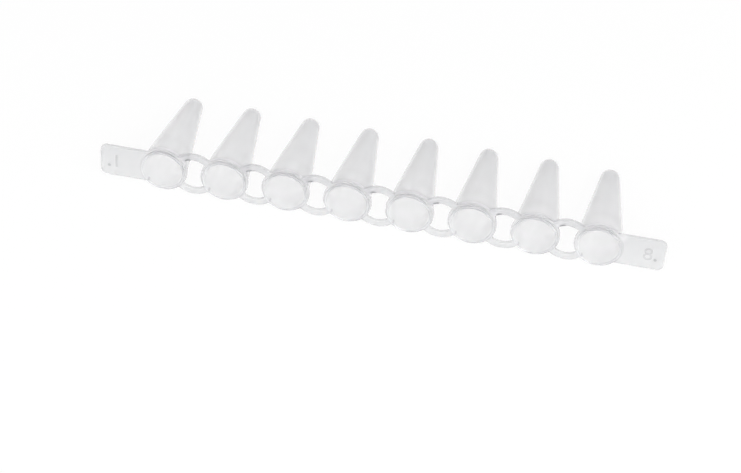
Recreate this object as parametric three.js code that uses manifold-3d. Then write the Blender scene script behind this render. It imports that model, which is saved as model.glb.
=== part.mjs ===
// A strip of small conical reaction tubes moulded in one piece, lying on its side.
// Millimetres, +X along the row of tubes, +Z up, standing on z = 0 under the middle of its box.
// The strip is drawn with each tube's axis along +Y and its rim at y = 0, and is then laid down.
import * as THREE from 'three';
import { mergeVertices } from 'three/addons/utils/BufferGeometryUtils.js';
import Module from 'manifold-3d';

// The row
const TUBE_COUNT = 8;
const PITCH = 9;

// The hollow of a tube: a nearly straight mouth, then a cone that ends in a ball
const BORE_RADIUS = 2.88;
const BORE_TAPER = 0.18;
const CONE_START = 4;
const TIP_BORE_RADIUS = 1.05;

// The tube round it
const TUBE_LENGTH = 17.85;
const RIM_WALL = 0.32;
const RIM_BEVEL = 0.1;
const SHOULDER_WALL = 0.4;
const CONE_WALL = 0.34;
const TIP_WALL = 0.36;

// The web that joins the tubes: a flange round each, a ring link in each gap, a tab at each end
const COLLAR_HEIGHT = 0.35;
const WEB_THICKNESS = 0.6;
const FLANGE_WIDTH = 0.3;
const LINK_OUTER_RADIUS = 3.42;
const LINK_WIDTH = 0.95;
const TAB_REACH = 9.35;
const TAB_WIDTH = 5.04;
const TAB_CORNER_RADIUS = 0.95;

// How finely round shapes are faceted
const TURNS = 28;
const TIP_STEPS = 4;

const rimRadius = BORE_RADIUS + RIM_WALL;
const flangeRadius = rimRadius + FLANGE_WIDTH;
const coneBore = BORE_RADIUS - BORE_TAPER;
const tipRadius = TIP_BORE_RADIUS + TIP_WALL;
const tipCentre = TUBE_LENGTH - tipRadius;
const webBack = COLLAR_HEIGHT + WEB_THICKNESS;

const wasm = await Module();
wasm.setup();

// Turns a closed three.js geometry into a solid that can be joined and cut.
function toSolid(geometry) {
  const bare = geometry.clone();
  bare.deleteAttribute('normal');
  bare.deleteAttribute('uv');
  const merged = mergeVertices(bare, 1e-5);
  const corners = merged.index.array;
  const triangles = [];
  for (let i = 0; i < corners.length; i += 3) {
    const [a, b, c] = corners.slice(i, i + 3);
    if (a !== b && b !== c && c !== a) triangles.push(a, b, c);
  }
  return new wasm.Manifold(new wasm.Mesh({
    numProp: 3,
    vertProperties: new Float32Array(merged.attributes.position.array),
    triVerts: new Uint32Array(triangles),
  }));
}

// Turns a solid back into a three.js geometry.
function toGeometry(solid) {
  const mesh = solid.getMesh();
  const geometry = new THREE.BufferGeometry();
  geometry.setAttribute('position', new THREE.BufferAttribute(mesh.vertProperties, 3));
  geometry.setIndex(new THREE.BufferAttribute(mesh.triVerts, 1));
  geometry.computeVertexNormals();
  return geometry;
}

// The angle to the tube's axis of a line from this radius and depth that grazes a ball at the tip.
function slopeToTip(radius, depth, ballRadius) {
  const reach = tipCentre - depth;
  return Math.acos(ballRadius / Math.hypot(reach, radius)) - Math.atan2(reach, radius);
}

// A round tip in profile, from the ring where a cone meets its ball to the ball's pole.
function tipProfile(coneRadius, ballRadius) {
  const meeting = slopeToTip(coneRadius, CONE_START, ballRadius);
  const points = [];
  for (let i = 0; i < TIP_STEPS; i += 1) {
    const angle = THREE.MathUtils.lerp(meeting, Math.PI / 2, i / TIP_STEPS);
    const radius = ballRadius * Math.cos(angle);
    points.push(new THREE.Vector2(radius, tipCentre + ballRadius * Math.sin(angle)));
  }
  points.push(new THREE.Vector2(0, tipCentre + ballRadius));
  return points;
}

// The outside of a tube, filled: collar, shoulder, cone and round tip.
function tubeOutside() {
  return toSolid(new THREE.LatheGeometry([
    new THREE.Vector2(0, 0),
    new THREE.Vector2(rimRadius, 0),
    new THREE.Vector2(rimRadius, COLLAR_HEIGHT),
    new THREE.Vector2(BORE_RADIUS + SHOULDER_WALL, webBack),
    new THREE.Vector2(coneBore + CONE_WALL, CONE_START),
    ...tipProfile(coneBore + CONE_WALL, tipRadius),
  ], TURNS));
}

// The hollow of a tube, with a bevelled mouth that runs on past the rim so that it cuts cleanly.
function tubeHollow() {
  return toSolid(new THREE.LatheGeometry([
    new THREE.Vector2(0, -RIM_BEVEL),
    new THREE.Vector2(BORE_RADIUS + 2 * RIM_BEVEL, -RIM_BEVEL),
    new THREE.Vector2(BORE_RADIUS, RIM_BEVEL),
    new THREE.Vector2(coneBore, CONE_START),
    ...tipProfile(coneBore, TIP_BORE_RADIUS),
  ], TURNS));
}

// A flat piece of the web, from its outline in X and Z.
function webPiece(shape) {
  const plate = new THREE.ExtrudeGeometry(shape, {
    depth: WEB_THICKNESS,
    bevelEnabled: false,
    curveSegments: TURNS / 2,
  });
  plate.rotateX(Math.PI / 2);
  plate.translate(0, webBack, 0);
  return toSolid(plate);
}

// The round flange of one tube, as a full disc.
function flange() {
  return webPiece(new THREE.Shape().absarc(0, 0, flangeRadius, 0, 2 * Math.PI));
}

// The ring that links two tubes: its sides run into their flanges, which leaves a window between.
function link() {
  const ring = new THREE.Shape().absarc(0, 0, LINK_OUTER_RADIUS, 0, 2 * Math.PI);
  ring.holes.push(new THREE.Path().absarc(0, 0, LINK_OUTER_RADIUS - LINK_WIDTH, 0, 2 * Math.PI));
  return webPiece(ring);
}

// An end tab, from its tube's axis along +X, with both outer corners rounded.
function tab() {
  const half = TAB_WIDTH / 2;
  const shape = new THREE.Shape();
  const cornerX = TAB_REACH - TAB_CORNER_RADIUS;
  const cornerZ = half - TAB_CORNER_RADIUS;
  shape.moveTo(0, -half);
  shape.absarc(cornerX, -cornerZ, TAB_CORNER_RADIUS, -Math.PI / 2, 0);
  shape.absarc(cornerX, cornerZ, TAB_CORNER_RADIUS, 0, Math.PI / 2);
  shape.lineTo(0, half);
  shape.closePath();
  return webPiece(shape);
}

// The whole moulding: web and tubes joined, then every tube hollowed.
function tubeStrip() {
  const first = -PITCH * (TUBE_COUNT - 1) / 2;
  const filled = tubeOutside().add(flange());
  const hollow = tubeHollow();
  const ring = link();
  const endTab = tab();
  let solid = endTab.translate([-first, 0, 0]).add(endTab.rotate([0, 180, 0]).translate([first, 0, 0]));
  for (let i = 0; i < TUBE_COUNT; i += 1) {
    solid = solid.add(filled.translate([first + i * PITCH, 0, 0]));
  }
  for (let i = 0; i < TUBE_COUNT - 1; i += 1) {
    solid = solid.add(ring.translate([first + (i + 0.5) * PITCH, 0, 0]));
  }
  for (let i = 0; i < TUBE_COUNT; i += 1) {
    solid = solid.subtract(hollow.translate([first + i * PITCH, 0, 0]));
  }
  return toGeometry(solid);
}

const polypropylene = new THREE.MeshStandardMaterial({
  name: 'natural polypropylene',
  color: 0xe4e7e9,
  roughness: 0.35,
  metalness: 0,
});

const strip = new THREE.Mesh(tubeStrip(), polypropylene);
strip.name = 'tube_strip';

// Laid on its side, the strip touches down on its flanges' back edges and on the tubes' tips.
strip.rotation.x = -slopeToTip(flangeRadius, webBack, tipRadius);
strip.updateMatrixWorld();
const box = new THREE.Box3().setFromObject(strip, true);
strip.position.set(0, -(box.min.y + box.max.y) / 2, -box.min.z);

const model = new THREE.Group();
model.name = 'pcr_tube_strip';
model.add(strip);

export default model;
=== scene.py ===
import math

import bmesh
import bpy
from mathutils import Matrix, Vector


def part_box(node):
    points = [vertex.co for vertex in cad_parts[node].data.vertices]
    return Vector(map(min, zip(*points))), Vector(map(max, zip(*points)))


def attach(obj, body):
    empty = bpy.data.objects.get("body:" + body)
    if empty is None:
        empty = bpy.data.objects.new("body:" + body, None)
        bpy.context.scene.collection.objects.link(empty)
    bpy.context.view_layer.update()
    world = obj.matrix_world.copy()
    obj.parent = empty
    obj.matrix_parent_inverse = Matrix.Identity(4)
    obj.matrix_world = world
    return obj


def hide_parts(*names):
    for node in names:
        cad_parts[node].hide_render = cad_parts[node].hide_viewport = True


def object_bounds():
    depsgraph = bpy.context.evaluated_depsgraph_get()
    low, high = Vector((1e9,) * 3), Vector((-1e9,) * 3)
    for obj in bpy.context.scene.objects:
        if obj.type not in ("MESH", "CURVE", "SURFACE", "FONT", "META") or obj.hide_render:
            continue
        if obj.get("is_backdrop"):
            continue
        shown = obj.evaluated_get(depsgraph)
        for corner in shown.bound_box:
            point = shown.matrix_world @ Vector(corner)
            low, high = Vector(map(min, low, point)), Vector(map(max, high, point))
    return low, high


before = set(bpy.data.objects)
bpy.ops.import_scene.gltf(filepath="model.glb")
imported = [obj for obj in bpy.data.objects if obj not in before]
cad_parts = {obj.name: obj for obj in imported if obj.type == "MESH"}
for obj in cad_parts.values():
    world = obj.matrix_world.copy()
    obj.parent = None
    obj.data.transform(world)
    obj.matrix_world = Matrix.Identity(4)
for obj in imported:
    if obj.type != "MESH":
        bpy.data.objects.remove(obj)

bl_info = {
    "name": "Reaction Tube Strip",
    "version": (1, 0, 0),
    "blender": (4, 5, 0),
    "location": "View3D > Sidebar > Tube Strip",
    "description": "A one-piece strip of small conical reaction tubes, lying on a pale table",
    "category": "Object",
}

MM = 0.001
CAD_NODE = "tube_strip"
WALL = "wall"
INSIDE = "inside"
PLACE = "strip_place"
MOULDING = "moulding"

# How finely round shapes are stepped: rings and arcs by count, the web's arcs by degrees
TURNS = 80
PROFILE_STEPS = 5
BALL_STEPS = 12
MOUTH_STEPS = 8
BEND_STEPS = 8
CONE_STEPS = 16
FEWEST_STEPS = 3
EDGE_STEP = 5.0
FILLET_STEP = 15.0
WINDOW_STEP = 12.0
SAME_POINT = 1e-7

# Beside a rounding, a row of points keeps the flat face flat: it stands off by this part of it
ROOT_SUPPORT_PART = 4
EDGE_SUPPORT_PART = 8

# A bore's plastic seems this many web thicknesses thick at the mouth, and thins out to the
# cone's wall at a depth of this many cone starts
MOUTH_PLASTIC = 1.5
MOUTH_REACH = 1.5

# A point belongs to the bore from this share of the rim's rounding downwards
BORE_STARTS = 1.01

# The tone of the web runs into the tube's over this many root fillets
WEB_FADE = 3

# A wall is seen through two skins, so each gives half of its cover
SKIN_SHARE = 0.5
REFRACTIVE_INDEX = 1.49

# Unevenness of the plastic, per metre; streaks are drawn out along the tubes
CLOUD_SCALE = 260.0
CLOUD_DETAIL = 3.0
STREAK_SCALE = 900.0
STREAK_STRETCH = (1.0, 0.12, 1.0)
GRAIN_SCALE = 5200.0
TINT_CLOUDS = 0.6
TINT_STREAKS = 0.4
BUMP_GRAIN = 0.75
BUMP_STREAKS = 0.25

# The full middle of a painted spot and of the painted dark line under a link, as a share of its
# reach
SPOT_CORE = 0.2
CORNER_CORE = 0.3

# Where the painted light at a link's root lies, across and up, in flange radii
ROOT_SPOT_ACROSS = 0.8
ROOT_SPOT_UP = 0.65

# The painted shadow spot on each rim fades between these depths, in rim roundings
RIM_SHADOW_FADE_START = 5
RIM_SHADOW_FADE_END = 9

# A painted dark spot of this strength takes the full dark colour, which is this share of the shaded
# thick plastic's colour
SPOT_SHADE_FULL = 0.4
SPOT_SHADE_SHARE = 0.5

# Numerals: their height as a share of the font's size, and their bevel as a part of the relief
FONT_SHARE = 0.7
NUMERAL_BEVEL_PART = 3
NUMERAL_BEVEL_STEPS = 3
NUMERAL_CURVE_STEPS = 8

# The table and the camera
TABLE_HALF = 2.0
TABLE_ROUGHNESS = 0.9
TABLE_GLOSS = 0.1
WHITE = (1.0, 1.0, 1.0)
SENSOR_WIDTH = 36.0
NEAREST_SEEN = 0.01
FARTHEST_SEEN = 20.0


# --- Sizes, finish and stage, as the sidebar shows them ---------------------------------------


def length(name, millimetres, description):
    """A size in the sidebar, written here in millimetres."""
    return bpy.props.FloatProperty(
        name=name,
        description=description,
        default=millimetres * MM,
        min=0.0,
        precision=5,
        unit="LENGTH",
    )


def share(name, value, description):
    """A plain number from 0 to 1 in the sidebar."""
    return bpy.props.FloatProperty(
        name=name, description=description, default=value, min=0.0, max=1.0, subtype="FACTOR"
    )


def strength(name, value, description):
    """A light's strength, or another plain number that isn't a share."""
    return bpy.props.FloatProperty(name=name, description=description, default=value, min=0.0)


def colour(name, value, description):
    """A colour in the sidebar."""
    return bpy.props.FloatVectorProperty(
        name=name, description=description, default=value, size=3, min=0.0, max=1.0, subtype="COLOR"
    )


def position(name, value, description):
    """A place in the room, in metres."""
    return bpy.props.FloatVectorProperty(
        name=name, description=description, default=value, size=3, subtype="TRANSLATION"
    )


class StripSizes(bpy.types.PropertyGroup):
    """The moulding's sizes. Each tube's axis runs along Y, with its rim at Y = 0."""

    tube_count: bpy.props.IntProperty(
        name="Tubes", description="How many tubes the strip has", default=8, min=2
    )
    pitch: length("Pitch", 9.0, "From one tube's axis to the next")
    bore_radius: length("Bore radius", 2.88, "Radius of the hollow just inside the mouth")
    bore_taper: length("Bore taper", 0.18, "How much the bore narrows before the cone starts")
    cone_start: length("Cone start", 4.0, "Depth below the rim where the cone starts")
    bend_reach: length("Bend", 1.5, "How far each way the bend at the cone's start is softened")
    tip_bore_radius: length("Tip bore radius", 1.05, "Radius of the hollow's round end")
    tube_length: length("Tube length", 17.85, "From the rim to the end of the tip")
    rim_wall: length("Rim wall", 0.32, "Wall thickness of the collar at the rim")
    rim_round: length("Rim round", 0.1, "Rounding of the mouth's inner edge")
    rim_edge: length("Rim outer edge", 0.08, "Rounding of the collar's outer edge")
    shoulder_wall: length("Shoulder wall", 0.4, "Wall thickness just behind the flange")
    cone_wall: length("Cone wall", 0.34, "Wall thickness along the cone")
    tip_wall: length("Tip wall", 0.36, "Wall thickness round the tip")
    collar_height: length("Collar height", 0.35, "How far the rim stands in front of the web")
    web_thickness: length("Web thickness", 0.6, "Thickness of the flanges, links and tabs")
    web_edge: length("Web edge", 0.08, "Rounding of the web's edges")
    # Width of the painted light at each link's root
    root_spot: length("Root spot", 1.4, "How wide a link's root is lit by the tube behind it")
    root_fillet: length("Root fillet", 0.06, "Rounding where a tube meets the web")
    flange_width: length("Flange width", 0.3, "How far a flange stands out from its collar")
    link_radius: length("Link radius", 3.42, "Outer radius of a ring link")
    link_width: length("Link width", 0.95, "Width of a ring link's band")
    corner_fillet: length("Corner fillet", 0.3, "Rounding of the corners where links meet flanges")
    tab_reach: length("Tab reach", 9.35, "From the end tube's axis to the end of its tab")
    tab_width: length("Tab width", 5.04, "Width of an end tab")
    tab_corner: length("Tab corner", 0.95, "Corner radius of an end tab")
    # Painted shade: a dark spot on each rim and a dark line under each upper link; the pin mark is
    # a real dimple, shown only by painted shade
    gate_mark: length("Gate mark", 0.36, "Radius of the gate's mark on each rim")
    corner_mark: length("Corner mark", 0.6, "Half the length of the dark line under each link")
    corner_width: length(
        "Corner mark width", 0.28, "Half the width of the dark line under each link"
    )
    pin_mark: length("Pin mark", 0.42, "Radius of the ejector pin's mark on each tab")
    pin_inset: length("Pin inset", 1.3, "From the tab's end to its pin mark")
    pin_drop: length("Pin drop", 0.78, "How far the pin mark lies below the tab's middle")
    numeral_height: length("Numeral height", 2.1, "Height of the numeral on each tab")
    numeral_inset: length("Numeral inset", 2.4, "From the tab's end to the middle of its numeral")
    numeral_wall: length("Numeral wall", 0.3, "How much plastic a numeral seems to add to its tab")
    numeral_relief: length("Numeral relief", 0.05, "How far a numeral stands out of its tab")


class StripFinish(bpy.types.PropertyGroup):
    """The look of the moulded plastic, with its painted light and shade."""

    # Painted light: a lit copy of the plastic for inside the bores, also mixed in wherever other
    # places are painted lighter
    bore_plastic: colour("Bore plastic", (0.87, 0.86, 0.89), "Colour of the plastic inside a tube")
    plastic: colour("Plastic", (0.66, 0.665, 0.67), "Colour of the plastic in a tube's outside")
    # Painted shade: a darker copy of the plastic, mixed into the web and the tips and used for the
    # painted dark spots; the plastic is thick there, but its darkness is painted
    thick_plastic: colour(
        "Thick plastic", (0.385, 0.39, 0.41), "Colour of the plastic where it is thickest"
    )
    # Painted shade on the web: links and tabs darker than the tubes, darker towards the top and
    # lighter towards the bottom
    web_shade: share(
        "Web shade", 0.35, "How far the links and tabs take the thick plastic's colour"
    )
    web_lean: share(
        "Web lean", 0.24, "How much more the top of the web takes it, and how much less its bottom"
    )
    link_shade: share(
        "Link shade", 0.11, "How much more the web takes it at its top and bottom alike"
    )
    # Painted shade and light round each rim and flange: dark on one side, lighter on the other,
    # lighter on the flange's outer side and at each link's root beside its tube
    rim_plastic: colour("Rim plastic", (0.395, 0.4, 0.415), "Colour of a rim on its dark side")
    rim_light: share("Rim's light side", 0.3, "How far a rim's light side takes the bore's colour")
    side_light: share(
        "Flange side light", 0.5, "How far a flange's outer side takes the bore's colour"
    )
    root_light: share(
        "Root light", 0.36, "How far a link's root takes the bore's colour beside its tube"
    )
    rim_spread: share("Rim's spread", 0.4, "How narrow a rim's dark side is; 0 darkens all of it")
    dark_side: bpy.props.FloatProperty(
        name="Dark side",
        description="Where a rim is darkest, from the row's direction upwards",
        default=math.radians(62.0),
        subtype="ANGLE",
    )
    # Painted shade in each bore near its mouth and painted light on each tube just behind its
    # flange; the tubes also grow darker towards the tip
    mouth_shade: share("Mouth shade", 0.5, "How far a bore takes the outside's colour at its mouth")
    tip_shade: share("Tip shade", 0.3, "How far a tube's tip takes the thick plastic's colour")
    shoulder_light: share(
        "Shoulder light", 0.4, "How far a tube takes the bore's colour just behind its flange"
    )
    # Painted shade: where the dark spot lies on each rim, beside the lower link
    gate_side: bpy.props.FloatProperty(
        name="Gate side",
        description="Where the gate's mark is on each rim, from the row's direction upwards",
        default=math.radians(-137.0),
        subtype="ANGLE",
    )
    # Painted shade: the dark spots on the rims, the dark line under each upper link and the shade
    # of the pins' dimples
    mark_shade: share("Mark shade", 0.8, "How dark the small marks of the mould are")
    gate_shade: share("Gate shade", 0.3, "How much of that darkness the gate's mark takes")
    corner_shade: share("Corner shade", 0.8, "How much of it the dark line under a link takes")
    pin_shade: share("Pin shade", 0.55, "How much of it the ejector pin's mark takes")
    haze: share("Haze", 0.02, "How much cloudy patches darken the plastic")
    roughness: share("Roughness", 0.3, "Roughness of the smooth moulded skin")
    roughness_change: share("Roughness change", 0.12, "How much the skin's roughness wanders")
    clearness: share("Clearness", 0.3, "How much of the light passes through the plastic")
    density: strength(
        "Density", 1500.0, "How fast the milky plastic hides what is behind it, per metre"
    )
    tip_haze: share("Tip haze", 0.3, "How much denser the plastic is at the tip")
    scatter: share("Scatter", 1.0, "How much light spreads inside the plastic")
    scatter_radius: length("Scatter radius", 0.9, "How far light spreads inside the plastic")
    grain_depth: length("Grain depth", 0.004, "Depth of the fine grain that the mould leaves")
    grain_strength: share("Grain strength", 0.35, "How strongly the fine grain shows")


class StageSettings(bpy.types.PropertyGroup):
    """The table, the lights and the camera."""

    table: colour("Table", (0.95, 0.95, 0.95), "Colour of the table")
    table_glow: share("Table glow", 0.88, "How far the table is seen as plain white")
    sky: strength("Sky", 0.55, "Strength of the even light from all round")
    key: strength("Key light", 5.7, "Power of the large soft light, in watts")
    key_size: bpy.props.FloatProperty(
        name="Key size", description="Width of the large soft light", default=0.7, unit="LENGTH"
    )
    key_place: position("Key place", (0.05, -0.65, 0.35), "Where the large soft light hangs")
    fill: strength("Fill light", 0.6, "Power of the small soft light, in watts")
    fill_size: bpy.props.FloatProperty(
        name="Fill size", description="Width of the small soft light", default=0.3, unit="LENGTH"
    )
    fill_place: position("Fill place", (0.35, -0.2, 0.3), "Where the small soft light hangs")
    lens: bpy.props.FloatProperty(
        name="Lens", description="Focal length of the camera", default=91.75, min=1.0, unit="CAMERA"
    )
    camera_place: position("Camera place", (0.03004, -0.19368, 0.19411), "Where the camera stands")
    camera_turn: bpy.props.FloatVectorProperty(
        name="Camera turn",
        description="How the camera is turned",
        default=(math.radians(43.6418), math.radians(-2.1932), math.radians(11.7554)),
        size=3,
        subtype="EULER",
    )


# --- Shaders -----------------------------------------------------------------------------------


class Link:
    """An output socket that can stand in a sum, so that shader maths reads as plain maths."""

    def __init__(self, tree, socket):
        self.tree = tree
        self.socket = socket

    def _math(self, operation, first, second):
        node = self.tree.nodes.new("ShaderNodeMath")
        node.operation = operation
        for target, value in zip(node.inputs, (first, second)):
            if isinstance(value, Link):
                self.tree.links.new(value.socket, target)
            else:
                target.default_value = value
        return Link(self.tree, node.outputs[0])

    def __add__(self, other):
        return self._math("ADD", self, other)

    def __radd__(self, other):
        return self._math("ADD", other, self)

    def __sub__(self, other):
        return self._math("SUBTRACT", self, other)

    def __rsub__(self, other):
        return self._math("SUBTRACT", other, self)

    def __mul__(self, other):
        return self._math("MULTIPLY", self, other)

    def __rmul__(self, other):
        return self._math("MULTIPLY", other, self)


class Shader:
    """A node tree that is built by naming each node's type, settings and sockets."""

    def __init__(self, tree):
        self.tree = tree
        tree.nodes.clear()

    def node(self, kind, settings=None, sockets=None):
        """Adds a node, makes its settings, then gives its sockets their values or links."""
        node = self.tree.nodes.new(kind)
        for name, value in (settings or {}).items():
            setattr(node, name, value)
        for name, value in (sockets or {}).items():
            if isinstance(value, Link):
                self.tree.links.new(value.socket, node.inputs[name])
            else:
                node.inputs[name].default_value = value
        return node

    def link(self, kind, output, settings=None, sockets=None):
        """Adds a node and returns one of its outputs."""
        return Link(self.tree, self.node(kind, settings, sockets).outputs[output])

    def mix_colours(self, factor, first, second, blend="MIX"):
        """Mixes two colours, each a link or plain red, green and blue."""
        first, second = (c if isinstance(c, Link) else (*c, 1.0) for c in (first, second))
        return self.link(
            "ShaderNodeMix",
            2,
            {"data_type": "RGBA", "blend_type": blend},
            {0: factor, 6: first, 7: second},
        )


def rgba(colour_value):
    """A colour with full alpha."""
    return (*colour_value, 1.0)


def polypropylene(finish, sizes):
    """Milky natural polypropylene: bright in the bores and greyer in the web and round the rims,
    largely by painted light and shade.
    """
    material = bpy.data.materials.get("natural_polypropylene")
    if material:
        return material
    material = bpy.data.materials.new("natural_polypropylene")
    material.use_nodes = True
    shader = Shader(material.node_tree)
    place = shader.link("ShaderNodeTexCoord", "Object")

    def noise(scale, detail=2.0, stretch=(1.0, 1.0, 1.0)):
        """Unevenness of this scale, which runs from 0 to 1."""
        spread = shader.link(
            "ShaderNodeMapping", "Vector", sockets={"Vector": place, "Scale": stretch}
        )
        return shader.link(
            "ShaderNodeTexNoise",
            "Fac",
            sockets={"Vector": spread, "Scale": scale, "Detail": detail},
        )

    wall = shader.link("ShaderNodeAttribute", "Fac", {"attribute_name": WALL})
    clouds = noise(CLOUD_SCALE, detail=CLOUD_DETAIL)
    streaks = noise(STREAK_SCALE, stretch=STREAK_STRETCH)
    grain = noise(GRAIN_SCALE)
    plain, painted_spots = tone(shader, finish, sizes)
    clouded = shader.mix_colours(1.0, plain, (1.0 - finish.haze,) * 3, "MULTIPLY")
    tint = shader.mix_colours(TINT_CLOUDS * clouds + TINT_STREAKS * streaks, plain, clouded)
    rough = finish.roughness + finish.roughness_change * (0.5 * clouds + 0.5 * streaks - 0.5)
    bump = shader.link(
        "ShaderNodeBump",
        "Normal",
        sockets={
            "Height": BUMP_GRAIN * grain + BUMP_STREAKS * streaks,
            "Strength": finish.grain_strength,
            "Distance": finish.grain_depth,
        },
    )
    seen_through = shader.link(
        "ShaderNodeMath", 0, {"operation": "EXPONENT"}, {0: -SKIN_SHARE * finish.density * wall}
    )
    milky = (1.0 - seen_through) * (1.0 + finish.haze * (clouds + streaks - 1.0))
    cover = 1.0 - (1.0 - milky) * (1.0 - painted_spots)
    surface = shader.link(
        "ShaderNodeBsdfPrincipled",
        "BSDF",
        {"subsurface_method": "RANDOM_WALK"},
        {
            "Base Color": tint,
            "Roughness": rough,
            "Normal": bump,
            "IOR": REFRACTIVE_INDEX,
            "Alpha": cover,
            "Transmission Weight": finish.clearness,
            "Subsurface Weight": finish.scatter,
            "Subsurface Radius": (1.0, 1.0, 1.0),
            "Subsurface Scale": finish.scatter_radius,
        },
    )
    shader.node("ShaderNodeOutputMaterial", sockets={"Surface": surface})
    return material


def tone(shader, finish, s):
    """The plastic's colour from its place on the strip, and how strong a painted dark spot is
    there.

    Its light and dark sides are painted light and shade: they follow the place, not the lamps, so
    they stay when a lamp moves.
    """
    inside = shader.link("ShaderNodeAttribute", "Fac", {"attribute_name": INSIDE})
    place = shader.link("ShaderNodeAttribute", "Vector", {"attribute_name": PLACE})
    parts = shader.node("ShaderNodeSeparateXYZ", sockets={"Vector": place})
    x, depth, z = (Link(shader.tree, parts.outputs[name]) for name in ("X", "Y", "Z"))
    rim = s.bore_radius + s.rim_wall
    flange = rim + s.flange_width
    web_back = s.collar_height + s.web_thickness

    def fade(value, start, end):
        """Runs smoothly from 0 at the start to 1 at the end."""
        return shader.link(
            "ShaderNodeMapRange",
            "Result",
            {"interpolation_type": "SMOOTHSTEP"},
            {"Value": value, "From Min": start, "From Max": end},
        )

    def distance(across, up):
        """How far a point is from the middle, across and up."""
        offset = shader.link("ShaderNodeCombineXYZ", "Vector", sockets={"X": across, "Z": up})
        return shader.link("ShaderNodeVectorMath", "Value", {"operation": "LENGTH"}, {0: offset})

    def spot(centre_x, centre_z, half_x, half_z):
        """1 in the middle of a small oval spot, fading to 0 at its edge."""
        reach = distance((across - centre_x) * (1.0 / half_x), (z - centre_z) * (1.0 / half_z))
        return 1.0 - fade(reach, SPOT_CORE, 1.0)

    last = s.tube_count - 1
    nearest = shader.link(
        "ShaderNodeMath", 0, {"operation": "ROUND"}, {0: x * (1.0 / s.pitch) + last / 2}
    )
    tube = shader.link("ShaderNodeClamp", "Result", sockets={"Value": nearest, "Max": float(last)})
    across = x - (tube - last / 2) * s.pitch
    off_axis = distance(across, z)

    on_web = 1.0 - fade(depth, web_back, web_back + WEB_FADE * s.root_fillet)
    on_rim = on_web * (1.0 - fade(off_axis, flange, flange + s.root_fillet))
    # Painted shade and light round the rims: each is dark on one side and lighter on the other, set
    # by the strip's own directions
    dark_way = across * math.cos(finish.dark_side) + z * math.sin(finish.dark_side)
    dark = shader.link("ShaderNodeMath", 0, {"operation": "DIVIDE"}, {0: dark_way, 1: off_axis})
    plain, thick, bore = finish.plastic, finish.thick_plastic, finish.bore_plastic
    # Painted shade on the web: darker than the tubes, more so towards the top and less towards the
    # bottom
    rise = z * (1.0 / s.link_radius)
    web_shade = finish.web_shade + finish.web_lean * rise + finish.link_shade * rise * rise
    web = shader.mix_colours(web_shade, plain, thick)
    rim_light = shader.mix_colours(finish.rim_light, plain, bore)
    darkness = shader.link(
        "ShaderNodeMath", 0, {"operation": "POWER"}, {0: 0.5 + 0.5 * dark, 1: finish.rim_spread}
    )
    rims = shader.mix_colours(darkness, rim_light, finish.rim_plastic)
    # Painted light on each flange's outer side
    on_side = finish.side_light * fade(depth, s.collar_height, s.collar_height + 2 * s.web_edge)
    rims = shader.mix_colours(on_side, rims, bore)
    # Tubes grow darker towards the tip, and painted light lies on each just behind its flange
    to_tip = finish.tip_shade * fade(depth, s.cone_start, s.tube_length)
    on_shoulder = finish.shoulder_light * (1.0 - fade(depth, web_back, s.cone_start))
    tube_side = shader.mix_colours(on_shoulder, shader.mix_colours(to_tip, plain, thick), bore)
    outside = shader.mix_colours(on_rim, shader.mix_colours(on_web, tube_side, web), rims)
    # Painted shade in each bore near its mouth, painted light at each link's root beside its tube,
    # and inside the bores the lit copy of the plastic
    at_mouth = finish.mouth_shade * (1.0 - fade(depth, 0.0, s.cone_start))
    root = spot(flange * ROOT_SPOT_ACROSS, flange * ROOT_SPOT_UP, s.root_spot, s.root_spot)
    outside = shader.mix_colours(finish.root_light * on_web * root, outside, bore)
    moulded = shader.mix_colours(inside, outside, shader.mix_colours(at_mouth, bore, plain))

    # Painted shade: a small dark spot on each rim where the lower link meets it
    rim_shadow = spot(
        s.bore_radius * math.cos(finish.gate_side),
        s.bore_radius * math.sin(finish.gate_side),
        s.gate_mark,
        s.gate_mark,
    )
    # Painted shade: a dark line under each upper link, in the window's corner beside the tube
    window = s.link_radius - s.link_width
    along = meeting(flange + s.corner_fillet, window - s.corner_fillet, s.pitch / 2)[0]
    off_link = distance(across - s.pitch / 2, z)
    corner_along = (across - along - s.corner_mark / 2) * (1.0 / s.corner_mark)
    corner_out = (off_link - window - s.corner_width / 2) * (1.0 / s.corner_width)
    corner = 1.0 - fade(distance(corner_along, corner_out), CORNER_CORE, 1.0)
    corner = corner * fade(z, 0.0, window / 2)
    pin_x = s.tab_reach - s.pin_inset
    rim_shadow_end = 1.0 - fade(depth, RIM_SHADOW_FADE_START * s.rim_round, RIM_SHADOW_FADE_END * s.rim_round)
    rim_shadow = finish.gate_shade * rim_shadow * rim_shadow_end
    half_deep = s.collar_height + s.web_thickness / 2
    corner = corner * (1.0 - fade(tube, last - 1, last)) * (1.0 - fade(depth, half_deep, web_back))
    front = 1.0 - fade(depth, s.collar_height, s.collar_height + s.web_edge)
    # The ejector pins' marks on the tabs are real dimples, shown only by painted shade
    right_pin = spot(pin_x, -s.pin_drop, s.pin_mark, s.pin_mark)
    left_pin = spot(-pin_x, -s.pin_drop, s.pin_mark, s.pin_mark)
    pins = front * (right_pin + left_pin)
    # All the painted dark spots darken the colour and let less through
    on_front = rim_shadow + finish.corner_shade * corner
    painted_spots = finish.mark_shade * (on_web * on_front + finish.pin_shade * pins)
    spot_shade_colour = tuple(SPOT_SHADE_SHARE * part for part in thick)
    return shader.mix_colours(fade(painted_spots, 0.0, SPOT_SHADE_FULL), moulded, spot_shade_colour), painted_spots


# --- The moulding ------------------------------------------------------------------------------


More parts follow.
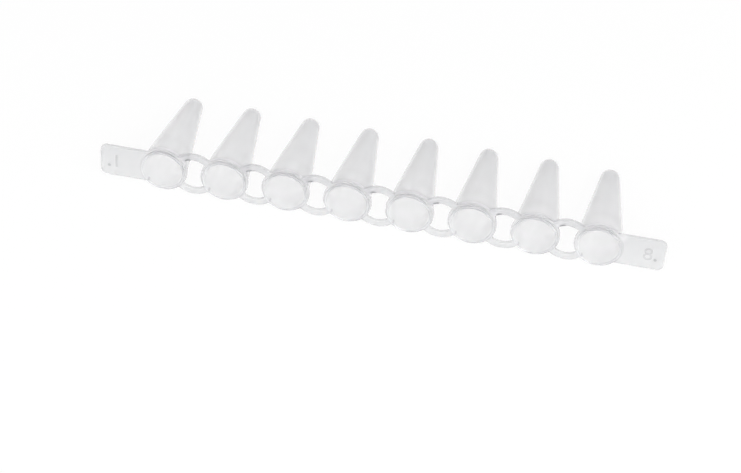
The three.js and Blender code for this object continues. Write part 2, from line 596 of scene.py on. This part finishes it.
def arc(centre, radius, start, end, side=1, step=EDGE_STEP):
    """Points along an arc in X and Z, each with the direction in which the plastic ends there.

    side is 1 where the plastic lies on the centre's side, and -1 where it lies outside the arc.
    start and end are in radians, step in degrees.
    """
    count = max(FEWEST_STEPS, math.ceil(abs(math.degrees(end - start)) / step))
    points = []
    for i in range(count + 1):
        angle = start + (end - start) * i / count
        out = Vector((math.cos(angle), math.sin(angle)))
        points.append((centre + radius * out, side * out))
    return points


def meeting(first_radius, second_radius, apart):
    """Where two circles cross, measured from the first one's centre towards the second's."""
    along = (first_radius**2 - second_radius**2 + apart**2) / (2 * apart)
    return along, math.sqrt(first_radius**2 - along**2)


def joined(points):
    """The points with the doubled ones left out."""
    kept = []
    for point in points:
        if not kept or (kept[-1][0] - point[0]).length > SAME_POINT:
            kept.append(point)
    if (kept[-1][0] - kept[0][0]).length < SAME_POINT:
        kept.pop()
    return kept


class StripShape:
    """Works out the moulding from its sizes."""

    def __init__(self, sizes):
        self.s = sizes
        self.rim = sizes.bore_radius + sizes.rim_wall
        self.flange = self.rim + sizes.flange_width
        self.shoulder = sizes.bore_radius + sizes.shoulder_wall
        self.cone_bore = sizes.bore_radius - sizes.bore_taper
        self.cone = self.cone_bore + sizes.cone_wall
        self.tip = sizes.tip_bore_radius + sizes.tip_wall
        self.tip_centre = sizes.tube_length - self.tip
        self.web_back = sizes.collar_height + sizes.web_thickness
        first = -sizes.pitch * (sizes.tube_count - 1) / 2
        self.axes = [first + i * sizes.pitch for i in range(sizes.tube_count)]

    def tilt(self):
        """The slope at which the strip lies, on its flanges' back edges and its tips."""
        reach = self.tip_centre - self.web_back
        span = math.hypot(reach, self.flange)
        return math.acos(self.tip / span) - math.atan2(reach, self.flange)

    def outline(self):
        """The web's outer edge, from the middle of the right tab round to the same place."""
        s = self.s
        fillet = s.corner_fillet
        half = s.tab_width / 2
        right = self.axes[-1]
        corner = Vector((right + s.tab_reach - s.tab_corner, half - s.tab_corner))
        tab_rise = half + fillet
        tab_run = math.sqrt((self.flange + fillet) ** 2 - tab_rise**2)
        tab_meets = math.atan2(tab_rise, tab_run)
        along, rise = meeting(self.flange + fillet, s.link_radius + fillet, s.pitch / 2)
        flange_meets = math.atan2(rise, along)
        link_meets = math.atan2(rise, s.pitch / 2 - along)
        top = []
        top += arc(corner, s.tab_corner, 0, math.pi / 2)
        top += arc(
            Vector((right + tab_run, tab_rise)),
            fillet,
            -math.pi / 2,
            tab_meets - math.pi,
            -1,
            FILLET_STEP,
        )
        for i in reversed(range(s.tube_count)):
            x = self.axes[i]
            start = tab_meets if i == s.tube_count - 1 else flange_meets
            end = math.pi - (tab_meets if i == 0 else flange_meets)
            top += arc(Vector((x, 0)), self.flange, start, end)
            if i == 0:
                continue
            link = Vector((x - s.pitch / 2, 0))
            top += arc(
                Vector((x - along, rise)),
                fillet,
                -flange_meets,
                link_meets - math.pi,
                -1,
                FILLET_STEP,
            )
            top += arc(link, s.link_radius, link_meets, math.pi - link_meets)
            top += arc(
                Vector((link.x - s.pitch / 2 + along, rise)),
                fillet,
                -link_meets,
                flange_meets - math.pi,
                -1,
                FILLET_STEP,
            )
        left_run = self.axes[0] - tab_run
        top += arc(
            Vector((left_run, tab_rise)), fillet, -tab_meets, -math.pi / 2, -1, FILLET_STEP
        )
        top += arc(Vector((-corner.x, corner.y)), s.tab_corner, math.pi / 2, math.pi)
        flip = Vector((-1, -1))
        bottom = [(p * flip, n * flip) for p, n in top]
        return joined(top + bottom)

    def window(self, x):
        """The edge of the window in the link at this X."""
        s = self.s
        fillet = s.corner_fillet
        inner = s.link_radius - s.link_width
        along, rise = meeting(self.flange + fillet, inner - fillet, s.pitch / 2)
        flange_meets = math.atan2(rise, along)
        link_meets = math.atan2(rise, s.pitch / 2 - along)
        flip = Vector((-1, -1))
        half = []
        half += arc(
            Vector((s.pitch / 2, 0)),
            self.flange,
            math.pi + flange_meets,
            math.pi - flange_meets,
        )
        half += arc(
            Vector((s.pitch / 2 - along, rise)),
            fillet,
            -flange_meets,
            link_meets,
            -1,
            WINDOW_STEP,
        )
        half += arc(Vector((0, 0)), inner, link_meets, math.pi - link_meets, -1)
        half += arc(
            Vector((along - s.pitch / 2, rise)),
            fillet,
            math.pi - link_meets,
            math.pi + flange_meets,
            -1,
            WINDOW_STEP,
        )
        turned = [(p * flip, n * flip) for p, n in half]
        middle = Vector((x, 0))
        return joined([(p + middle, n) for p, n in half + turned])

    def front_profile(self):
        """Radius and depth from the web's front over the rim and down the bore to its end."""
        s = self.s
        root = self.rim + s.root_fillet
        points = [(root + s.root_fillet / ROOT_SUPPORT_PART, s.collar_height)]
        points += curve((root, s.collar_height - s.root_fillet), s.root_fillet, 90, 180)
        points += curve((self.rim - s.rim_edge, s.rim_edge), s.rim_edge, 0, -90)
        points += curve((s.bore_radius + s.rim_round, s.rim_round), s.rim_round, -90, -180)
        points += self.to_tip(points[-1], self.cone_bore, s.tip_bore_radius)
        return points

    def back_profile(self):
        """Radius and depth from the web's back down the outside of the tube to its tip."""
        s = self.s
        root = self.shoulder + s.root_fillet
        points = [(root + s.root_fillet / ROOT_SUPPORT_PART, self.web_back)]
        points += curve((root, self.web_back + s.root_fillet), s.root_fillet, -90, -180)
        points += self.to_tip(points[-1], self.cone, self.tip)
        return points

    def plastic_at(self, place, tip_haze):
        """How much plastic a look passes through at this place, and 1 inside a bore, else 0."""
        s = self.s
        depth = place.y
        off_axis = math.hypot(min(abs(place.x - x) for x in self.axes), place.z)
        if depth > s.rim_round * BORE_STARTS and off_axis < self.inner_radius(depth):
            deep = min(1.0, depth / (MOUTH_REACH * s.cone_start))
            mouth = MOUTH_PLASTIC * s.web_thickness
            return mouth + (s.cone_wall - mouth) * deep * (2.0 - deep), 1.0
        if depth < s.collar_height and off_axis <= self.rim + s.root_fillet:
            return self.web_back, 0.0
        wall = blend_stops(
            depth,
            (
                (self.web_back + s.root_fillet, s.web_thickness),
                (self.web_back + WEB_FADE * s.root_fillet, s.shoulder_wall),
                (s.cone_start, s.cone_wall),
                (2 * s.cone_start, s.cone_wall),
                (s.tube_length, s.tip_wall * (1.0 + tip_haze)),
            ),
        )
        return wall, 0.0

    def inner_radius(self, depth):
        """A radius in the middle of the tube's wall at this depth."""
        s = self.s
        return blend_stops(
            depth,
            (
                (s.rim_round, s.bore_radius + s.rim_wall / 2),
                (s.cone_start, self.cone_bore + s.cone_wall / 2),
                (self.tip_centre, s.tip_bore_radius + s.tip_wall / 2),
                (self.tip_centre + s.tip_bore_radius + s.tip_wall / 2, 0.0),
            ),
        )

    def to_tip(self, start, cone_radius, ball_radius):
        """A straight mouth, a softened bend, a cone and the ball it runs into, down to the pole."""
        bend = Vector((cone_radius, self.s.cone_start))
        reach = self.tip_centre - bend.y
        grazing = math.acos(ball_radius / math.hypot(reach, cone_radius))
        slope = grazing - math.atan2(reach, cone_radius)
        ball = curve((0.0, self.tip_centre), ball_radius, math.degrees(slope), 90, BALL_STEPS)
        before = Vector(start).lerp(bend, 1.0 - self.s.bend_reach / (bend.y - start[1]))
        after = bend.lerp(Vector(ball[0]), self.s.bend_reach / (ball[0][1] - bend.y))
        rounded = []
        for i in range(BEND_STEPS + 1):
            t = i / BEND_STEPS
            rounded.append(tuple(before.lerp(bend, t).lerp(bend.lerp(after, t), t)))
        support = Vector(start).lerp(before, self.s.rim_round / (before.y - start[1]))
        run = [tuple(support)] + line(support, before, MOUTH_STEPS)
        return run + rounded + line(rounded[-1], ball[0], CONE_STEPS) + ball


def blend_stops(at, stops):
    """A value that runs in straight lines from stop to stop."""
    if at <= stops[0][0]:
        return stops[0][1]
    for (start, first), (end, last) in zip(stops, stops[1:]):
        if at <= end:
            return first + (last - first) * (at - start) / (end - start)
    return stops[-1][1]


def curve(centre, radius, start, end, count=PROFILE_STEPS):
    """Points of an arc in a profile of radius and depth, from one angle in degrees to another."""
    points = []
    for i in range(count + 1):
        angle = math.radians(start + (end - start) * i / count)
        points.append((centre[0] + radius * math.cos(angle), centre[1] + radius * math.sin(angle)))
    return points


def line(start, end, count):
    """Points of a straight run in a profile, without its two ends."""
    return [
        tuple(a + (b - a) * i / count for a, b in zip(start, end)) for i in range(1, count)
    ]


def ring(mesh, x, radius, depth):
    """A ring of points round a tube's axis."""
    points = []
    for i in range(TURNS):
        angle = 2 * math.pi * i / TURNS
        points.append(
            mesh.verts.new((x + radius * math.cos(angle), depth, radius * math.sin(angle)))
        )
    return points


def bridge(mesh, first, second):
    """A band of faces between two closed rows of points."""
    count = len(first)
    for i in range(count):
        j = (i + 1) % count
        mesh.faces.new((first[i], first[j], second[j], second[i]))


def loop_edges(mesh, points):
    """The edges round a closed row of points."""
    count = len(points)
    return [mesh.edges.get((points[i], points[(i + 1) % count])) for i in range(count)]


def lathe(mesh, x, profile):
    """A turned surface that ends in a point on the axis. Returns its first ring."""
    rings = [ring(mesh, x, radius, depth) for radius, depth in profile[:-1]]
    for first, second in zip(rings, rings[1:]):
        bridge(mesh, first, second)
    pole = mesh.verts.new((x, profile[-1][1], 0.0))
    for i in range(TURNS):
        mesh.faces.new((rings[-1][i], rings[-1][(i + 1) % TURNS], pole))
    return rings[0]


def edge_wall(mesh, shape, edge):
    """The rounded side of the web along one closed edge. Returns its front and back rows."""
    s = shape.s
    support = s.web_edge / EDGE_SUPPORT_PART
    levels = [(s.web_edge + support, s.collar_height)]
    levels += [
        (s.web_edge - a, b)
        for a, b in curve((0.0, s.collar_height + s.web_edge), s.web_edge, -90, 0)
    ]
    levels += [
        (s.web_edge - a, b)
        for a, b in curve((0.0, shape.web_back - s.web_edge), s.web_edge, 0, 90)
    ]
    levels.append((s.web_edge + support, shape.web_back))
    rows = []
    for inset, depth in levels:
        row = []
        for point, out in edge:
            at = point - inset * out
            row.append(mesh.verts.new((at.x, depth, at.y)))
        rows.append(row)
    for first, second in zip(rows, rows[1:]):
        bridge(mesh, first, second)
    return rows[0], rows[-1]


def mark_plastic(shape, piece, finish, wall=None):
    """Writes what the shader needs at each point of a piece that isn't laid down yet."""
    points = [v.co for v in piece.data.vertices]
    walls, insides = zip(*(shape.plastic_at(point, finish.tip_haze) for point in points))
    if wall is not None:
        walls = [wall] * len(points)
    attributes = piece.data.attributes
    attributes.new(WALL, "FLOAT", "POINT").data.foreach_set("value", walls)
    attributes.new(INSIDE, "FLOAT", "POINT").data.foreach_set("value", insides)
    places = [part for point in points for part in point]
    attributes.new(PLACE, "FLOAT_VECTOR", "POINT").data.foreach_set("vector", places)


def lay_down(shape, body):
    """Lays the moulding on its side and sets it in the CAD solid's box."""
    low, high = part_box(CAD_NODE)
    body.data.transform(Matrix.Rotation(-shape.tilt(), 4, "X"))
    points = [v.co for v in body.data.vertices]
    body_low = Vector([min(p[k] for p in points) for k in range(3)])
    body_high = Vector([max(p[k] for p in points) for k in range(3)])
    shift = (low + high - body_low - body_high) / 2
    shift.z = low.z - body_low.z
    body.data.transform(Matrix.Translation(shift))


def lay_on(shape, body, piece):
    """Lays a piece down as the moulding lies, which is read off the moulding's first point."""
    turn = Matrix.Rotation(-shape.tilt(), 4, "X")
    upright = body.data.attributes[PLACE].data[0].vector
    shift = body.data.vertices[0].co - turn @ upright
    piece.data.transform(Matrix.Translation(shift) @ turn)


def dress(piece, finish, sizes):
    """Gives a piece its plastic and its place on the part."""
    piece.data.materials.clear()
    piece.data.materials.append(polypropylene(finish, sizes))
    for face in piece.data.polygons:
        face.use_smooth = True
    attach(piece, "root")


def new_piece(name, mesh_data):
    """A new object of this mesh, in the scene."""
    piece = bpy.data.objects.new(name, mesh_data)
    bpy.context.scene.collection.objects.link(piece)
    return piece


def moulding_mesh(shape):
    """The whole moulding as one closed skin."""
    mesh = bmesh.new()
    fronts, backs = [], []
    edges = [shape.outline()]
    edges += [shape.window(x + shape.s.pitch / 2) for x in shape.axes[:-1]]
    for edge in edges:
        front, back = edge_wall(mesh, shape, edge)
        fronts.append(front)
        backs.append(back)
    front_profile = shape.front_profile()
    back_profile = shape.back_profile()
    for x in shape.axes:
        fronts.append(lathe(mesh, x, front_profile))
        backs.append(lathe(mesh, x, back_profile))
    for rows in (fronts, backs):
        around = [edge for row in rows for edge in loop_edges(mesh, row)]
        bmesh.ops.triangle_fill(mesh, use_beauty=True, use_dissolve=False, edges=around)
    bmesh.ops.recalc_face_normals(mesh, faces=mesh.faces)
    data = bpy.data.meshes.new("tube_strip_moulding")
    mesh.to_mesh(data)
    mesh.free()
    return data


def numeral_mesh(shape, name, text, x):
    """A raised numeral on a tab's front face."""
    s = shape.s
    curve_data = bpy.data.curves.new(name, "FONT")
    curve_data.body = text
    curve_data.align_x = "CENTER"
    curve_data.align_y = "CENTER"
    curve_data.size = s.numeral_height / FONT_SHARE
    curve_data.extrude = s.numeral_relief
    curve_data.bevel_depth = s.numeral_relief / NUMERAL_BEVEL_PART
    curve_data.bevel_resolution = NUMERAL_BEVEL_STEPS
    curve_data.resolution_u = NUMERAL_CURVE_STEPS
    carrier = bpy.data.objects.new(name, curve_data)
    data = bpy.data.meshes.new_from_object(carrier)
    data.name = name
    bpy.data.objects.remove(carrier)
    place = Matrix.Translation((x, s.collar_height, 0.0)) @ Matrix.Rotation(math.pi / 2, 4, "X")
    data.transform(place)
    return data


class TUBESTRIP_OT_moulding(bpy.types.Operator):
    """Adds the moulding: tubes, flanges, links and tabs in one closed skin"""

    bl_idname = "tubestrip.moulding"
    bl_label = "Add the Moulding"

    def execute(self, context):
        """Builds the skin and lays it in the CAD solid's place."""
        shape = StripShape(context.scene.tube_strip_sizes)
        finish = context.scene.tube_strip_finish
        body = new_piece(MOULDING, moulding_mesh(shape))
        mark_plastic(shape, body, finish)
        lay_down(shape, body)
        dress(body, finish, shape.s)
        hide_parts(CAD_NODE)
        return {"FINISHED"}


class TUBESTRIP_OT_numerals(bpy.types.Operator):
    """Adds a raised numeral to the front of each tab: the first tube's and the last one's"""

    bl_idname = "tubestrip.numerals"
    bl_label = "Add the Numerals"

    def execute(self, context):
        """Builds both numerals and lays them on the moulding, which has to be there."""
        body = bpy.data.objects[MOULDING]
        shape = StripShape(context.scene.tube_strip_sizes)
        finish = context.scene.tube_strip_finish
        s = shape.s
        inset = s.tab_reach - s.numeral_inset
        numerals = (
            ("numeral_left", "1", shape.axes[0] - inset),
            ("numeral_right", str(s.tube_count), shape.axes[-1] + inset),
        )
        for name, text, x in numerals:
            piece = new_piece(name, numeral_mesh(shape, name, text, x))
            mark_plastic(shape, piece, finish, s.numeral_wall)
            lay_on(shape, body, piece)
            dress(piece, finish, s)
        return {"FINISHED"}


# --- The stage ---------------------------------------------------------------------------------


def add_table(stage):
    """A wide table that is seen as near white and keeps the strip's shadow."""
    half = TABLE_HALF
    data = bpy.data.meshes.new("table")
    data.from_pydata(
        [(-half, -half, 0), (half, -half, 0), (half, half, 0), (-half, half, 0)], [], [(0, 1, 2, 3)]
    )
    table = new_piece("table", data)
    material = bpy.data.materials.new("pale_table")
    material.use_nodes = True
    shader = Shader(material.node_tree)
    plain = shader.link(
        "ShaderNodeBsdfPrincipled",
        "BSDF",
        sockets={
            "Base Color": rgba(stage.table),
            "Roughness": TABLE_ROUGHNESS,
            "Specular IOR Level": TABLE_GLOSS,
        },
    )
    white = shader.link("ShaderNodeEmission", "Emission", sockets={"Strength": 1.0})
    glow = stage.table_glow * seen(shader)
    mixed = shader.link("ShaderNodeMixShader", "Shader", sockets={0: glow, 1: plain, 2: white})
    shader.node("ShaderNodeOutputMaterial", sockets={"Surface": mixed})
    data.materials.append(material)
    table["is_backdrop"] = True


def seen(shader):
    """1 for a ray that shows a surface directly, in gloss or through plastic, and 0 for light."""
    rays = shader.node("ShaderNodeLightPath")
    total = sum(
        Link(shader.tree, rays.outputs[name])
        for name in ("Is Camera Ray", "Is Glossy Ray", "Is Transmission Ray")
    )
    return shader.link("ShaderNodeClamp", "Result", sockets={"Value": total})


def add_sky(stage):
    """Even light from all round, seen as plain white."""
    world = bpy.data.worlds.new("pale_room")
    bpy.context.scene.world = world
    world.use_nodes = True
    shader = Shader(world.node_tree)
    light = shader.link("ShaderNodeBackground", "Background", sockets={"Strength": stage.sky})
    white = shader.link("ShaderNodeBackground", "Background", sockets={"Strength": 1.0})
    for background in (light, white):
        background.socket.node.inputs["Color"].default_value = rgba(WHITE)
    mixed = shader.link(
        "ShaderNodeMixShader", "Shader", sockets={0: seen(shader), 1: light, 2: white}
    )
    shader.node("ShaderNodeOutputWorld", sockets={"Surface": mixed})


def add_lamp(name, place, aim, size, power):
    """A square soft lamp that points at a place.

    Gloss and clear plastic don't show it: they show the pale room in its stead.
    """
    lamp = bpy.data.lights.new(name, "AREA")
    lamp.shape = "SQUARE"
    lamp.size = size
    lamp.energy = power
    piece = bpy.data.objects.new(name, lamp)
    piece.location = place
    piece.rotation_euler = (Vector(aim) - Vector(place)).to_track_quat("-Z", "Y").to_euler()
    piece.visible_glossy = False
    piece.visible_transmission = False
    bpy.context.scene.collection.objects.link(piece)


def add_camera(stage):
    """The camera, with its lens and place from the stage's settings."""
    data = bpy.data.cameras.new("camera")
    data.sensor_fit = "HORIZONTAL"
    data.sensor_width = SENSOR_WIDTH
    data.lens = stage.lens
    data.clip_start = NEAREST_SEEN
    data.clip_end = FARTHEST_SEEN
    camera = bpy.data.objects.new("camera", data)
    camera.location = stage.camera_place
    camera.rotation_euler = stage.camera_turn
    bpy.context.scene.collection.objects.link(camera)
    bpy.context.scene.camera = camera


class TUBESTRIP_OT_stage(bpy.types.Operator):
    """Adds the table, the sky, two soft lamps and the camera"""

    bl_idname = "tubestrip.stage"
    bl_label = "Add the Stage"

    def execute(self, context):
        """Builds the table and sky, then sets the lamps and the camera."""
        stage = context.scene.tube_strip_stage
        add_table(stage)
        add_sky(stage)
        add_lamp("key", stage.key_place, (0.0, 0.0, 0.0), stage.key_size, stage.key)
        add_lamp("fill", stage.fill_place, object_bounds()[1], stage.fill_size, stage.fill)
        add_camera(stage)
        context.scene.view_settings.view_transform = "Standard"
        return {"FINISHED"}


class TUBESTRIP_PT_panel(bpy.types.Panel):
    """The strip's tools and settings, in the 3D view's sidebar"""

    bl_idname = "TUBESTRIP_PT_panel"
    bl_label = "Tube Strip"
    bl_space_type = "VIEW_3D"
    bl_region_type = "UI"
    bl_category = "Tube Strip"

    def draw(self, context):
        """Lists the operators, then every setting of each group."""
        layout = self.layout
        for operator in OPERATORS:
            layout.operator(operator.bl_idname)
        for name in SETTINGS:
            group = getattr(context.scene, name)
            column = layout.box().column()
            for setting in group.__annotations__:
                column.prop(group, setting)


OPERATORS = (TUBESTRIP_OT_moulding, TUBESTRIP_OT_numerals, TUBESTRIP_OT_stage)
SETTINGS = {
    "tube_strip_sizes": StripSizes,
    "tube_strip_finish": StripFinish,
    "tube_strip_stage": StageSettings,
}
CLASSES = (*SETTINGS.values(), *OPERATORS, TUBESTRIP_PT_panel)


def register():
    """Registers the classes and hangs their settings on the scene."""
    for cls in CLASSES:
        bpy.utils.register_class(cls)
    for name, group in SETTINGS.items():
        setattr(bpy.types.Scene, name, bpy.props.PointerProperty(type=group))


def unregister():
    """Takes the settings and the classes away again."""
    for name in SETTINGS:
        delattr(bpy.types.Scene, name)
    for cls in reversed(CLASSES):
        bpy.utils.unregister_class(cls)


def main():
    """Builds the strip and its stage."""
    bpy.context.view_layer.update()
    register()
    bpy.ops.tubestrip.moulding()
    bpy.ops.tubestrip.numerals()
    bpy.ops.tubestrip.stage()


if __name__ == "__main__":
    main()
